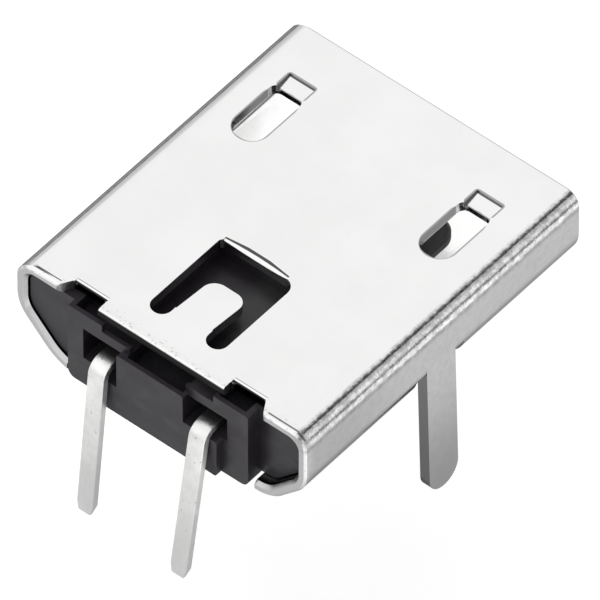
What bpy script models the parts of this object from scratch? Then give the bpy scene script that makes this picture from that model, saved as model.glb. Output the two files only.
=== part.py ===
"""Micro USB socket: a folded sheet shell, a moulded housing and two flat terminals.

Metres, +Z up. The mouth faces -Y, the terminals leave at +Y and the underside of the shell is z = 0, on
the board. Left is +X and right is -X, as seen from behind, where the terminals are.
"""

import math

import bmesh
import bpy

MM = 0.001

# Fineness of the round outlines, in steps per arc.
FINE_ARC = 8
ARC = 6
COARSE_ARC = 4
SHARP_ANGLE_DEG = 32
TIP_ARC_DEG = 86

# Shell: a folded sheet tube, sizes over the outside.
SHELL_WIDTH = 7.5 * MM
SHELL_HEIGHT = 2.42 * MM
SHELL_LENGTH = 8.5 * MM
SHEET = 0.25 * MM
SEAM_GAP = 0.05 * MM
EDGE_BREAK = 0.05 * MM
REAR_INNER_BREAK = 0.08 * MM
FOLD_STEPS = 10

# Folds of the section, sizes over the outside. The left side turns in higher and rounder than the right.
LEFT_TOP_RADIUS = 0.50 * MM
RIGHT_TOP_RADIUS = 0.32 * MM
TOP_INNER_RADIUS = 0.28 * MM
LEFT_SIDE_DROP = 1.30 * MM
RIGHT_SIDE_DROP = 1.45 * MM
SIDE_CORNER_RADIUS = 0.85 * MM
LEFT_BOTTOM_HALF_WIDTH = 2.66 * MM
RIGHT_BOTTOM_HALF_WIDTH = 2.84 * MM
LEFT_BOTTOM_RADIUS = 1.20 * MM
RIGHT_BOTTOM_RADIUS = 0.80 * MM

# Latch windows near the mouth, with a sunk lead-in in front of each.
WINDOW_INNER_X = 2.04 * MM
WINDOW_OUTER_X = 2.83 * MM
WINDOW_FRONT = 6.90 * MM
WINDOW_REAR = 5.32 * MM
WINDOW_FRONT_RADIUS = 0.18 * MM
WINDOW_REAR_RADIUS = 0.34 * MM
LEAD_IN_INNER_X = 2.09 * MM
LEAD_IN_OUTER_X = 2.77 * MM
LEAD_IN_FRONT = 7.28 * MM
LEAD_IN_SHALLOW = 0.06 * MM
LEAD_IN_DEEP = 0.14 * MM

# Locking tab: a tongue of the top sheet, freed by a U-shaped cut and pressed down a little.
U_HALF_WIDTH = 0.97 * MM
U_FRONT = 3.04 * MM
U_REAR = 0.68 * MM
U_FRONT_RADIUS = 0.10 * MM
U_FRONT_RIGHT_RADIUS = 0.28 * MM
ARM_INNER_X = 0.48 * MM
ARM_END_RADIUS = 0.24 * MM
TAB_ROOT = 1.05 * MM
TAB_TIP = 2.18 * MM
TAB_HALF_WIDTH = 0.46 * MM
TAB_TIP_RADIUS = 0.30 * MM
TAB_ROOT_OVERLAP = 0.15 * MM
TAB_SLOPE_DEG = 6.0

# Notches in the rear edge of the top.
NOTCH_INNER_X = 1.62 * MM
NOTCH_FRONT_OUTER_X = 2.46 * MM
NOTCH_REAR_OUTER_X = 2.66 * MM
NOTCH_DEPTH = 0.33 * MM
NOTCH_RADIUS = 0.10 * MM

# Rolled upper edges of the cuts that face the rear.
REAR_ROLL_RADIUS = 0.10 * MM
LEFT_REAR_ROLL_RADIUS = 0.15 * MM
NOTCH_ROLL_RADIUS = 0.07 * MM
U_ROLL_LEFT_X = 0.92 * MM
U_ROLL_RIGHT_X = 0.72 * MM
U_ROLL_END_RADIUS = 0.08 * MM
U_ROLL_RADIUS = 0.16 * MM

# Underside: the rear is cut back round the housing, and the legs are folded out of one opening.
REAR_OPENING_HALF_WIDTH = 2.43 * MM
REAR_OPENING_DEPTH = 1.0 * MM
REAR_OPENING_RADIUS = 0.15 * MM
LEG_WIDTH = 0.88 * MM
LEG_CENTRE = 4.18 * MM
LEG_KERF = 0.30 * MM
LEG_KERF_RADIUS = 0.08 * MM
LEG_ROOT_DROP = 1.26 * MM
LEG_TIP_DROP = 4.88 * MM
LEG_ROOT_OVERLAP = 0.25 * MM
LEG_SPLAY_DEG = 1.6
LEG_TIP_STEPS = 12

# Fits: the real pieces are pressed together, so these stay small beside a 0.25 mm sheet.
HOUSING_CLEARANCE = 0.03 * MM
TERMINAL_CLEARANCE = 0.02 * MM

# Housing: base block, rear block, centre block and tongue.
BASE_FRONT = 3.40 * MM
LEFT_WING_RECESS = 0.12 * MM
RIGHT_WING_RECESS = 0.29 * MM
HOUSING_RADIUS = 0.06 * MM
REAR_BLOCK_HALF_WIDTH = 2.335 * MM
REAR_BLOCK_DEPTH = 0.95 * MM
REAR_BLOCK_PROUD = 0.08 * MM
HOUSING_FOOT_RISE = 0.06 * MM
CENTRE_BLOCK_PROUD = 0.26 * MM
CENTRE_LOWER_HALF_WIDTH = 1.67 * MM
CENTRE_UPPER_LEFT_X = 0.92 * MM
CENTRE_UPPER_RIGHT_X = 0.80 * MM
CENTRE_TOP_DROP = 0.62 * MM
REAR_BLOCK_FOOT_RADIUS = 0.18 * MM
LEFT_POCKET_OUTER_X = 1.93 * MM
RIGHT_POCKET_OUTER_X = 1.80 * MM
POCKET_CEILING_DROP = 0.72 * MM
LEFT_POCKET_FLOOR_DROP = 1.58 * MM
RIGHT_POCKET_FLOOR_DROP = 1.36 * MM
POCKET_DEPTH = 0.60 * MM
LIP_RECESS = 0.25 * MM
LIP_HALF_WIDTH = 1.44 * MM
LIP_DROP = 0.46 * MM
SLOT_HALF_WIDTH = 2.20 * MM
SLOT_DEPTH = 0.55 * MM
SLOT_FLOOR_DROP = 0.64 * MM
SLOT_RIM = 0.10 * MM
WEB_LEFT_X = -0.78 * MM
WEB_RIGHT_X = -1.50 * MM
CORE_HOLE_HALF_WIDTH = 0.72 * MM
CORE_HOLE_FLOOR_DROP = 1.02 * MM
TAB_POCKET_DROP = 0.62 * MM
TAB_POCKET_MARGIN = 0.06 * MM
TONGUE_HALF_WIDTH = 2.0 * MM
TONGUE_TOP_DROP = 0.83 * MM
TONGUE_THICKNESS = 0.65 * MM
TONGUE_FRONT = 6.88 * MM
TONGUE_CORNER_RADIUS = 0.45 * MM
TONGUE_CHAMFER = 0.06 * MM
TONGUE_SIDE_HEIGHT = 0.22 * MM
TONGUE_UNDERCUT = 0.36 * MM
TONGUE_OVERLAP = 0.20 * MM

# Terminals: flat strips from the tongue through the base, bent down behind it.
TERMINAL_PITCH = 2.6 * MM
TERMINAL_WIDTH = 0.41 * MM
TERMINAL_THICKNESS = 0.18 * MM
CONTACT_FRONT = 6.05 * MM
CONTACT_PROUD = 0.03 * MM
JOG_FRONT = 3.0 * MM
JOG_REAR = 2.4 * MM
TAIL_TOP_DROP = 1.10 * MM
TAIL_REAR = 0.455 * MM
BEND_RADIUS = 0.26 * MM
BEND_STEPS = 10
LEFT_LEAN_DEG = 6.0
RIGHT_LEAN_DEG = 9.6
LEFT_TAIL_LENGTH = 3.72 * MM
RIGHT_TAIL_LENGTH = 3.57 * MM
TIP_LENGTH = 0.22 * MM
TIP_SIDE_CHAMFER = 0.05 * MM
TIP_FACE_CHAMFER = 0.10 * MM

REAR = SHELL_LENGTH / 2
MOUTH = -SHELL_LENGTH / 2
FAR = 20 * MM


def clear_scene():
    for obj in list(bpy.data.objects):
        bpy.data.objects.remove(obj, do_unlink=True)


def material(name, colour, metallic, roughness):
    made = bpy.data.materials.new(name)
    made.use_nodes = True
    shader = made.node_tree.nodes["Principled BSDF"]
    shader.inputs["Base Color"].default_value = (*colour, 1.0)
    shader.inputs["Metallic"].default_value = metallic
    shader.inputs["Roughness"].default_value = roughness
    return made


def new_object(name, mesh_builder):
    """An object holding the closed body in the bmesh, with its faces turned outward."""
    bmesh.ops.recalc_face_normals(mesh_builder, faces=mesh_builder.faces)
    mesh = bpy.data.meshes.new(name)
    mesh_builder.to_mesh(mesh)
    mesh_builder.free()
    obj = bpy.data.objects.new(name, mesh)
    bpy.context.scene.collection.objects.link(obj)
    return obj


def rounded(corners, steps=ARC, closed=True):
    """The outline through corners (x, y, radius), each turned into an arc of the same number of steps."""
    points = []
    count = len(corners)
    for index, (x, y, radius) in enumerate(corners):
        end = not closed and index in (0, count - 1)
        if radius <= 0 or end:
            points.append((x, y))
            continue
        before = corners[index - 1]
        after = corners[(index + 1) % count]
        ax, ay = before[0] - x, before[1] - y
        bx, by = after[0] - x, after[1] - y
        a_length, b_length = math.hypot(ax, ay), math.hypot(bx, by)
        ax, ay, bx, by = ax / a_length, ay / a_length, bx / b_length, by / b_length
        half = math.acos(max(-1.0, min(1.0, ax * bx + ay * by))) / 2
        reach = radius / math.tan(half)
        middle_x, middle_y = ax + bx, ay + by
        length = math.hypot(middle_x, middle_y)
        centre_x = x + middle_x / length * radius / math.sin(half)
        centre_y = y + middle_y / length * radius / math.sin(half)
        start = math.atan2(y + ay * reach - centre_y, x + ax * reach - centre_x)
        stop = math.atan2(y + by * reach - centre_y, x + bx * reach - centre_x)
        turn = (stop - start + math.pi) % (2 * math.pi) - math.pi
        for step in range(steps + 1):
            angle = start + turn * step / steps
            points.append((centre_x + radius * math.cos(angle), centre_y + radius * math.sin(angle)))
    return points


def prism(name, outline, axis, low, high):
    """A closed outline in the plane across the axis, extruded along the axis from low to high."""
    place = {
        "x": lambda a, b, t: (t, a, b),
        "y": lambda a, b, t: (a, t, b),
        "z": lambda a, b, t: (a, b, t),
    }[axis]
    builder = bmesh.new()
    lower = [builder.verts.new(place(a, b, low)) for a, b in outline]
    upper = [builder.verts.new(place(a, b, high)) for a, b in outline]
    builder.faces.new(lower)
    builder.faces.new(upper)
    for index in range(len(outline)):
        following = (index + 1) % len(outline)
        builder.faces.new((lower[index], lower[following], upper[following], upper[index]))
    return new_object(name, builder)


def loft(name, rings):
    """A closed body through rings of the same number of points, with a flat cap at each end."""
    builder = bmesh.new()
    made = [[builder.verts.new(point) for point in ring] for ring in rings]
    for first, second in zip(made, made[1:]):
        for index in range(len(first)):
            following = (index + 1) % len(first)
            builder.faces.new((first[index], first[following], second[following], second[index]))
    builder.faces.new(made[0])
    builder.faces.new(made[-1])
    return new_object(name, builder)


def combine(target, other, operation):
    """Applies one exact Boolean to the target and removes the other object."""
    modifier = target.modifiers.new(operation.lower(), "BOOLEAN")
    modifier.operation = operation
    modifier.solver = "EXACT"
    modifier.object = other
    bpy.context.view_layer.objects.active = target
    bpy.ops.object.modifier_apply(modifier=modifier.name)
    bpy.data.objects.remove(other, do_unlink=True)


def cut(target, other):
    combine(target, other, "DIFFERENCE")


def join(target, other):
    combine(target, other, "UNION")


def finish(obj, look):
    """Gives the piece its material, and shades it smooth except over sharp edges."""
    obj.data.materials.clear()
    obj.data.materials.append(look)
    for face in obj.data.polygons:
        face.use_smooth = True
        face.material_index = 0
    obj.data.set_sharp_from_angle(angle=math.radians(SHARP_ANGLE_DEG))


def depth(distance):
    """The y of a place this far forward of the shell's rear edge."""
    return REAR - distance


def drop(distance):
    """The z of a place this far below the top of the shell."""
    return SHELL_HEIGHT - distance


def half_section(inset, top_radius, side_drop, bottom_half_width, bottom_radius):
    """One half of the folded section at this depth into the sheet, from the seam up to the top."""
    turn = math.atan2(SHELL_WIDTH / 2 - bottom_half_width, drop(side_drop))
    half_width = SHELL_WIDTH / 2 - inset
    side_z = drop(side_drop) + inset * math.tan(turn / 2)
    bottom_x = bottom_half_width - inset * math.tan((math.pi / 2 - turn) / 2)
    return [
        (SEAM_GAP / 2, inset, 0.0),
        (bottom_x, inset, bottom_radius - inset),
        (half_width, side_z, SIDE_CORNER_RADIUS - inset),
        (half_width, SHELL_HEIGHT - inset, top_radius + (TOP_INNER_RADIUS - top_radius) * inset / SHEET),
    ]


def sheet_path(inset):
    """The folded section at this depth into the sheet, from one side of the seam round to the other."""
    left = half_section(inset, LEFT_TOP_RADIUS, LEFT_SIDE_DROP, LEFT_BOTTOM_HALF_WIDTH, LEFT_BOTTOM_RADIUS)
    right = half_section(inset, RIGHT_TOP_RADIUS, RIGHT_SIDE_DROP, RIGHT_BOTTOM_HALF_WIDTH,
                         RIGHT_BOTTOM_RADIUS)
    round_to_seam = [(-x, z, radius) for x, z, radius in reversed(right)]
    return rounded(left + round_to_seam, FOLD_STEPS, closed=False)


def sheet_tube():
    """The folded sheet before any cut: the outer and inner paths make one C-shaped ring at each section."""
    sections = [
        (MOUTH, EDGE_BREAK, SHEET - EDGE_BREAK),
        (MOUTH + EDGE_BREAK, 0.0, SHEET),
        (REAR - REAR_INNER_BREAK, 0.0, SHEET),
        (REAR - EDGE_BREAK, 0.0, SHEET - REAR_INNER_BREAK + EDGE_BREAK),
        (REAR, EDGE_BREAK, SHEET - REAR_INNER_BREAK),
    ]
    builder = bmesh.new()
    rows = []
    for y, outer_inset, inner_inset in sections:
        outer = [builder.verts.new((x, y, z)) for x, z in sheet_path(outer_inset)]
        inner = [builder.verts.new((x, y, z)) for x, z in sheet_path(inner_inset)]
        rows.append((outer, inner))
    count = len(rows[0][0])
    for (outer_a, inner_a), (outer_b, inner_b) in zip(rows, rows[1:]):
        for index in range(count - 1):
            builder.faces.new((outer_a[index], outer_a[index + 1], outer_b[index + 1], outer_b[index]))
            builder.faces.new((inner_a[index], inner_b[index], inner_b[index + 1], inner_a[index + 1]))
        for index in (0, count - 1):
            builder.faces.new((outer_a[index], outer_b[index], inner_b[index], inner_a[index]))
    for outer, inner in (rows[0], rows[-1]):
        for index in range(count - 1):
            builder.faces.new((outer[index], outer[index + 1], inner[index + 1], inner[index]))
    return new_object("shell", builder)


def mirrored(outline):
    return [(-x, y) for x, y in reversed(outline)]


def window_outline():
    return rounded([
        (WINDOW_INNER_X, depth(WINDOW_FRONT), WINDOW_FRONT_RADIUS),
        (WINDOW_OUTER_X, depth(WINDOW_FRONT), WINDOW_FRONT_RADIUS),
        (WINDOW_OUTER_X, depth(WINDOW_REAR), WINDOW_REAR_RADIUS),
        (WINDOW_INNER_X, depth(WINDOW_REAR), WINDOW_REAR_RADIUS),
    ], FINE_ARC)


def notch_outline():
    return rounded([
        (NOTCH_INNER_X, REAR + FAR, 0.0),
        (NOTCH_INNER_X, depth(NOTCH_DEPTH), NOTCH_RADIUS),
        (NOTCH_FRONT_OUTER_X, depth(NOTCH_DEPTH), NOTCH_RADIUS),
        (NOTCH_REAR_OUTER_X, REAR, 0.0),
        (NOTCH_REAR_OUTER_X, REAR + FAR, 0.0),
    ], COARSE_ARC)


def u_outline():
    """The opening round the tab. Its rear side stops at the tab's root, between the two arms."""
    return rounded([
        (-U_HALF_WIDTH, depth(U_FRONT), U_FRONT_RIGHT_RADIUS),
        (U_HALF_WIDTH, depth(U_FRONT), U_FRONT_RADIUS),
        (U_HALF_WIDTH, depth(U_REAR), ARM_END_RADIUS),
        (ARM_INNER_X, depth(U_REAR), ARM_END_RADIUS),
        (ARM_INNER_X, depth(TAB_ROOT), 0.0),
        (-ARM_INNER_X, depth(TAB_ROOT), 0.0),
        (-ARM_INNER_X, depth(U_REAR), ARM_END_RADIUS),
        (-U_HALF_WIDTH, depth(U_REAR), ARM_END_RADIUS),
    ])


def lead_in_cutter(side):
    """A shallow wedge that sinks the sheet toward the window."""
    x_low, x_high = sorted((side * LEAD_IN_INNER_X, side * LEAD_IN_OUTER_X))
    front, rear = depth(LEAD_IN_FRONT), depth(WINDOW_FRONT) + WINDOW_FRONT_RADIUS
    top = SHELL_HEIGHT + SHEET
    ring = [(front, drop(LEAD_IN_SHALLOW)), (front, top), (rear, top), (rear, drop(LEAD_IN_DEEP))]
    return prism("lead_in", ring, "x", x_low, x_high)


def roll_cutter(edge_y, stations):
    """Rolls the upper edge of a wall that faces the rear, through stations of (x, radius)."""
    rings = []
    for x, radius in stations:
        centre_y, centre_z = edge_y - radius, SHELL_HEIGHT - radius
        ring = []
        for step in range(ARC + 1):
            angle = math.pi / 2 * step / ARC
            ring.append((x, centre_y + radius * math.sin(angle), centre_z + radius * math.cos(angle)))
        ring.append((x, edge_y + EDGE_BREAK, centre_z))
        ring.append((x, edge_y + EDGE_BREAK, SHELL_HEIGHT + SHEET))
        ring.append((x, centre_y, SHELL_HEIGHT + SHEET))
        rings.append(ring)
    return loft("roll", rings)


def u_roll_cutter():
    """The roll on the front edge of the U, deepest in the middle and shallow at both ends."""
    stations = []
    for step in range(ARC + 1):
        share = step / ARC
        radius = U_ROLL_END_RADIUS + (U_ROLL_RADIUS - U_ROLL_END_RADIUS) * math.sin(math.pi * share)
        stations.append((U_ROLL_LEFT_X - (U_ROLL_LEFT_X + U_ROLL_RIGHT_X) * share, radius))
    return roll_cutter(depth(U_FRONT), stations)


def tab():
    """The locking tab, one sheet thick: flat over its root, then sloping down to a round tip."""
    slope = math.tan(math.radians(TAB_SLOPE_DEG))
    straight_end = TAB_TIP - TAB_TIP_RADIUS
    stations = [(TAB_ROOT - TAB_ROOT_OVERLAP, TAB_HALF_WIDTH), (TAB_ROOT, TAB_HALF_WIDTH)]
    stations.append((straight_end, TAB_HALF_WIDTH))
    for step in range(1, FINE_ARC + 1):
        angle = math.radians(TIP_ARC_DEG) * step / FINE_ARC
        half = TAB_HALF_WIDTH - TAB_TIP_RADIUS * (1 - math.cos(angle))
        stations.append((straight_end + TAB_TIP_RADIUS * math.sin(angle), half))
    rings = []
    for distance, half in stations:
        z = SHELL_HEIGHT - slope * max(0.0, distance - TAB_ROOT)
        y = depth(distance)
        rings.append([(-half, y, z), (half, y, z), (half, y, z - SHEET), (-half, y, z - SHEET)])
    return loft("tab", rings)


def leg(side):
    """One board leg: the side wall carried straight down, one sheet thick, to a round tip."""
    half = LEG_WIDTH / 2
    tip_centre = LEG_TIP_DROP - half
    splay = math.tan(math.radians(LEG_SPLAY_DEG))
    drops = [(LEG_ROOT_DROP - LEG_ROOT_OVERLAP, half), (LEG_ROOT_DROP, half), (tip_centre, half)]
    for step in range(1, LEG_TIP_STEPS + 1):
        angle = math.radians(TIP_ARC_DEG) * step / LEG_TIP_STEPS
        drops.append((tip_centre + half * math.sin(angle), half * math.cos(angle)))
    rings = []
    for distance, reach in drops:
        shift = splay * max(0.0, distance - LEG_ROOT_DROP)
        outer = side * (SHELL_WIDTH / 2 + shift)
        inner = side * (SHELL_WIDTH / 2 - SHEET + shift)
        z = drop(distance)
        front, rear = depth(LEG_CENTRE + reach), depth(LEG_CENTRE - reach)
        rings.append([(outer, front, z), (outer, rear, z), (inner, rear, z), (inner, front, z)])
    return loft("leg", rings)


def leg_opening_cutter():
    """The opening across the underside that the two legs are folded out of, with a kerf beside each leg."""
    front = depth(LEG_CENTRE + LEG_WIDTH / 2 + LEG_KERF)
    rear = depth(LEG_CENTRE - LEG_WIDTH / 2 - LEG_KERF)
    top = drop(LEG_ROOT_DROP)
    outline = rounded([
        (front, -SHEET, 0.0),
        (rear, -SHEET, 0.0),
        (rear, top, LEG_KERF_RADIUS),
        (front, top, LEG_KERF_RADIUS),
    ], COARSE_ARC)
    return prism("leg_opening", outline, "x", -SHELL_WIDTH, SHELL_WIDTH)


def rear_opening_cutter():
    half = REAR_OPENING_HALF_WIDTH
    outline = rounded([
        (-half, REAR + FAR, 0.0),
        (-half, depth(REAR_OPENING_DEPTH), REAR_OPENING_RADIUS),
        (half, depth(REAR_OPENING_DEPTH), REAR_OPENING_RADIUS),
        (half, REAR + FAR, 0.0),
    ], COARSE_ARC)
    return prism("rear_opening", outline, "z", -SHEET, drop(RIGHT_SIDE_DROP))


def build_shell():
    shell = sheet_tube()
    above, below = SHELL_HEIGHT + SHEET, SHELL_HEIGHT - 2 * SHEET
    for shape in (window_outline(), mirrored(window_outline()), u_outline()):
        cut(shell, prism("opening", shape, "z", below, above))
    for shape in (notch_outline(), mirrored(notch_outline())):
        cut(shell, prism("notch", shape, "z", below, above))
    cut(shell, rear_opening_cutter())
    cut(shell, leg_opening_cutter())
    join(shell, leg(1))
    join(shell, leg(-1))
    join(shell, tab())
    cut(shell, lead_in_cutter(1))
    cut(shell, lead_in_cutter(-1))
    cut(shell, u_roll_cutter())
    for edge_y, x_low, x_high, radius in (
        (depth(NOTCH_DEPTH), NOTCH_INNER_X, NOTCH_FRONT_OUTER_X, NOTCH_ROLL_RADIUS),
        (depth(NOTCH_DEPTH), -NOTCH_FRONT_OUTER_X, -NOTCH_INNER_X, NOTCH_ROLL_RADIUS),
        (REAR, -NOTCH_INNER_X, NOTCH_INNER_X, REAR_ROLL_RADIUS),
        (REAR, NOTCH_REAR_OUTER_X, SHELL_WIDTH, LEFT_REAR_ROLL_RADIUS),
    ):
        cut(shell, roll_cutter(edge_y, ((x_low, radius), (x_high, radius))))
    return shell


def terminal_path(lean_deg, tail_length, extra=0.0):
    """Centre line (y, z, direction) of the strip from front end to tip, with extra added at each end."""
    half = TERMINAL_THICKNESS / 2
    contact_z = drop(TONGUE_TOP_DROP + TONGUE_THICKNESS) - CONTACT_PROUD + half
    tail_z = drop(TAIL_TOP_DROP) - half
    lean = math.radians(lean_deg)
    centre_y = REAR + TAIL_REAR - half - BEND_RADIUS
    jog = math.atan2(tail_z - contact_z, JOG_FRONT - JOG_REAR)
    path = [
        (depth(CONTACT_FRONT) - extra, contact_z, 0.0),
        (depth(JOG_FRONT), contact_z, jog / 2),
        (depth(JOG_REAR), tail_z, jog / 2),
    ]
    for step in range(BEND_STEPS + 1):
        angle = (math.pi / 2 - lean) * step / BEND_STEPS
        y = centre_y + BEND_RADIUS * math.sin(angle)
        z = tail_z - BEND_RADIUS * (1 - math.cos(angle))
        path.append((y, z, -angle))
    y, z, heading = path[-1]
    length = tail_length + extra
    path.append((y + math.cos(heading) * length, z + math.sin(heading) * length, heading))
    return path


def strip_ring(centre_x, y, z, heading, half_width, above, below):
    """A rectangle across the strip: above and below are the distances to its two broad faces."""
    normal_y, normal_z = -math.sin(heading), math.cos(heading)
    upper = (y + normal_y * above, z + normal_z * above)
    lower = (y - normal_y * below, z - normal_z * below)
    return [
        (centre_x - half_width, *upper),
        (centre_x + half_width, *upper),
        (centre_x + half_width, *lower),
        (centre_x - half_width, *lower),
    ]


def build_terminal(name, side, lean_deg, tail_length):
    """The strip swept along its path, with a coined tip that narrows and thins on its front face."""
    centre_x = side * TERMINAL_PITCH / 2
    half_width, half = TERMINAL_WIDTH / 2, TERMINAL_THICKNESS / 2
    path = terminal_path(lean_deg, tail_length)
    rings = []
    for y, z, heading in path[:-1]:
        stretch = 1 / math.cos(heading) if 0 < heading else 1.0
        rings.append(strip_ring(centre_x, y, z, heading, half_width, half * stretch, half * stretch))
    y, z, heading = path[-1]
    shoulder = (y - math.cos(heading) * TIP_LENGTH, z - math.sin(heading) * TIP_LENGTH)
    rings.append(strip_ring(centre_x, *shoulder, heading, half_width, half, half))
    narrow = half_width - TIP_SIDE_CHAMFER
    rings.append(strip_ring(centre_x, y, z, heading, narrow, half, half - TIP_FACE_CHAMFER))
    return loft(name, rings)


def terminal_channel(side):
    """The passage for one strip: its path with the named clearance all round, open to the rear pocket."""
    centre_x = side * TERMINAL_PITCH / 2
    half_width = TERMINAL_WIDTH / 2 + TERMINAL_CLEARANCE
    half = TERMINAL_THICKNESS / 2 + TERMINAL_CLEARANCE
    path = terminal_path(0.0, 0.0, TERMINAL_CLEARANCE)[:3]
    path.append((depth(POCKET_DEPTH / 2), path[2][1], 0.0))
    rings = []
    for y, z, heading in path:
        stretch = 1 / math.cos(heading)
        rings.append(strip_ring(centre_x, y, z, heading, half_width, half * stretch, half * stretch))
    return loft("channel", rings)


def box(name, x_low, x_high, y_low, y_high, z_low, z_high, foot_radius=0.0, top_radius=0.0):
    """A block whose edges along Y are rounded, the lower and the upper pair each by their own radius."""
    outline = rounded([
        (x_low, z_low, foot_radius),
        (x_high, z_low, foot_radius),
        (x_high, z_high, top_radius),
        (x_low, z_high, top_radius),
    ], COARSE_ARC)
    return prism(name, outline, "y", y_low, y_high)


def tongue():
    """The contact tongue: round front corners, its upper edges broken and its lower ones sloped in."""
    half, radius, chamfer = TONGUE_HALF_WIDTH, TONGUE_CORNER_RADIUS, TONGUE_CHAMFER
    rear, front = depth(BASE_FRONT - TONGUE_OVERLAP), depth(TONGUE_FRONT)
    top, bottom = drop(TONGUE_TOP_DROP), drop(TONGUE_TOP_DROP + TONGUE_THICKNESS)

    def level(inset, z):
        outline = rounded([
            (-(half - inset), rear, 0.0),
            (-(half - inset), front + inset, radius - inset),
            (half - inset, front + inset, radius - inset),
            (half - inset, rear, 0.0),
        ], FINE_ARC)
        return [(x, y, z) for x, y in outline]

    return loft("tongue", [
        level(TONGUE_UNDERCUT, bottom), level(0.0, top - TONGUE_SIDE_HEIGHT), level(0.0, top - chamfer),
        level(chamfer, top),
    ])


def centre_block():
    """The block behind the base: wide below the terminal pockets and narrow between them."""
    low, top = HOUSING_FOOT_RISE, drop(CENTRE_TOP_DROP)
    left_step, right_step = drop(LEFT_POCKET_FLOOR_DROP), drop(RIGHT_POCKET_FLOOR_DROP)
    wide, radius = CENTRE_LOWER_HALF_WIDTH, HOUSING_RADIUS
    outline = rounded([
        (-wide, low, radius), (wide, low, radius), (wide, left_step, radius),
        (CENTRE_UPPER_LEFT_X, left_step, 0.0), (CENTRE_UPPER_LEFT_X, top, radius),
        (-CENTRE_UPPER_RIGHT_X, top, radius), (-CENTRE_UPPER_RIGHT_X, right_step, 0.0),
        (-wide, right_step, radius),
    ], COARSE_ARC)
    return prism("centre_block", outline, "y", depth(RIGHT_WING_RECESS), REAR + CENTRE_BLOCK_PROUD)


def hollow_rear(housing):
    """Cuts the terminal pockets, the lip under the shell, the slots and the core hole from the rear."""
    above = SHELL_HEIGHT
    face = REAR + REAR_BLOCK_PROUD - SLOT_RIM
    cut(housing, box("pocket", CENTRE_UPPER_LEFT_X, LEFT_POCKET_OUTER_X, depth(POCKET_DEPTH), REAR + FAR,
                     drop(LEFT_POCKET_FLOOR_DROP), drop(POCKET_CEILING_DROP)))
    cut(housing, box("pocket", -RIGHT_POCKET_OUTER_X, -CENTRE_UPPER_RIGHT_X, depth(POCKET_DEPTH), REAR + FAR,
                     drop(RIGHT_POCKET_FLOOR_DROP), drop(POCKET_CEILING_DROP)))
    cut(housing, box("lip", -LIP_HALF_WIDTH, LIP_HALF_WIDTH, depth(LIP_RECESS), REAR + FAR,
                     drop(LIP_DROP), above))
    for x_low, x_high in ((-SLOT_HALF_WIDTH, WEB_RIGHT_X), (WEB_LEFT_X, SLOT_HALF_WIDTH)):
        cut(housing, box("slot", x_low, x_high, depth(SLOT_DEPTH), face, drop(SLOT_FLOOR_DROP), above))
    cut(housing, box("core_hole", -CORE_HOLE_HALF_WIDTH, CORE_HOLE_HALF_WIDTH, depth(SLOT_DEPTH),
                     REAR + CENTRE_BLOCK_PROUD - SLOT_RIM, drop(CORE_HOLE_FLOOR_DROP), above))


def build_housing():
    top = drop(SHEET + HOUSING_CLEARANCE)
    section = sheet_path(SHEET + HOUSING_CLEARANCE)
    housing = prism("housing", section, "y", depth(BASE_FRONT), depth(LEFT_WING_RECESS))
    cut(housing, box("right_wing", -SHELL_WIDTH, 0.0, depth(RIGHT_WING_RECESS), REAR,
                     -SHEET, SHELL_HEIGHT))
    half = REAR_BLOCK_HALF_WIDTH
    join(housing, box("rear_block", -half, half, depth(REAR_BLOCK_DEPTH), REAR + REAR_BLOCK_PROUD,
                      HOUSING_FOOT_RISE, top, REAR_BLOCK_FOOT_RADIUS, HOUSING_RADIUS))
    join(housing, centre_block())
    join(housing, tongue())
    hollow_rear(housing)
    margin = TAB_POCKET_MARGIN
    cut(housing, box("tab_pocket", -U_HALF_WIDTH - margin, U_HALF_WIDTH + margin,
                     depth(U_FRONT + margin), depth(U_REAR - margin), drop(TAB_POCKET_DROP), SHELL_HEIGHT))
    for side in (1, -1):
        cut(housing, terminal_channel(side))
    return housing


def main():
    clear_scene()
    nickel = material("nickel_plate", (0.82, 0.82, 0.83), 1.0, 0.22)
    insulator = material("black_insulator", (0.03, 0.03, 0.032), 0.0, 0.4)
    tin = material("tin_plate", (0.86, 0.86, 0.85), 1.0, 0.3)
    finish(build_shell(), nickel)
    finish(build_housing(), insulator)
    finish(build_terminal("terminal_left", 1, LEFT_LEAN_DEG, LEFT_TAIL_LENGTH), tin)
    finish(build_terminal("terminal_right", -1, RIGHT_LEAN_DEG, RIGHT_TAIL_LENGTH), tin)


main()
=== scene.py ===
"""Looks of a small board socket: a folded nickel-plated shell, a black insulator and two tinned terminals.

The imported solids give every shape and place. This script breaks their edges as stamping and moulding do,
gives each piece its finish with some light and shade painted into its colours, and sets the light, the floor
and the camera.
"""

import logging
import math
from dataclasses import dataclass, field
from enum import Enum
from typing import Sequence

import bpy
from mathutils import Matrix, Vector

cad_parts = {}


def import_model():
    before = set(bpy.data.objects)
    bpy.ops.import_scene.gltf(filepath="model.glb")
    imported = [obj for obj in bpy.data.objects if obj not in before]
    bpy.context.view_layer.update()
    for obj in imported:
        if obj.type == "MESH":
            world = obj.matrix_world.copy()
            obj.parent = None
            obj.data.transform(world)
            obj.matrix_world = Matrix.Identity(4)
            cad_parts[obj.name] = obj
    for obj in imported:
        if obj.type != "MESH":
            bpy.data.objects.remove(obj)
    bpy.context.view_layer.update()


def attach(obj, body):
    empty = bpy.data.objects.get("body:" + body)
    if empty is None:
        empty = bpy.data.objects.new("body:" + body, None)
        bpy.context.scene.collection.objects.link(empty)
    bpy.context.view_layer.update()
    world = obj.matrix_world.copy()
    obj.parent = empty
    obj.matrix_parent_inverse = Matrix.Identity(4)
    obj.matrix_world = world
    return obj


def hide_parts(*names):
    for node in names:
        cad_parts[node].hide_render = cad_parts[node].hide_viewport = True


MM = 0.001
PICTURE_SIDE = 600
SENSOR_WIDTH = 36.0
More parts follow.
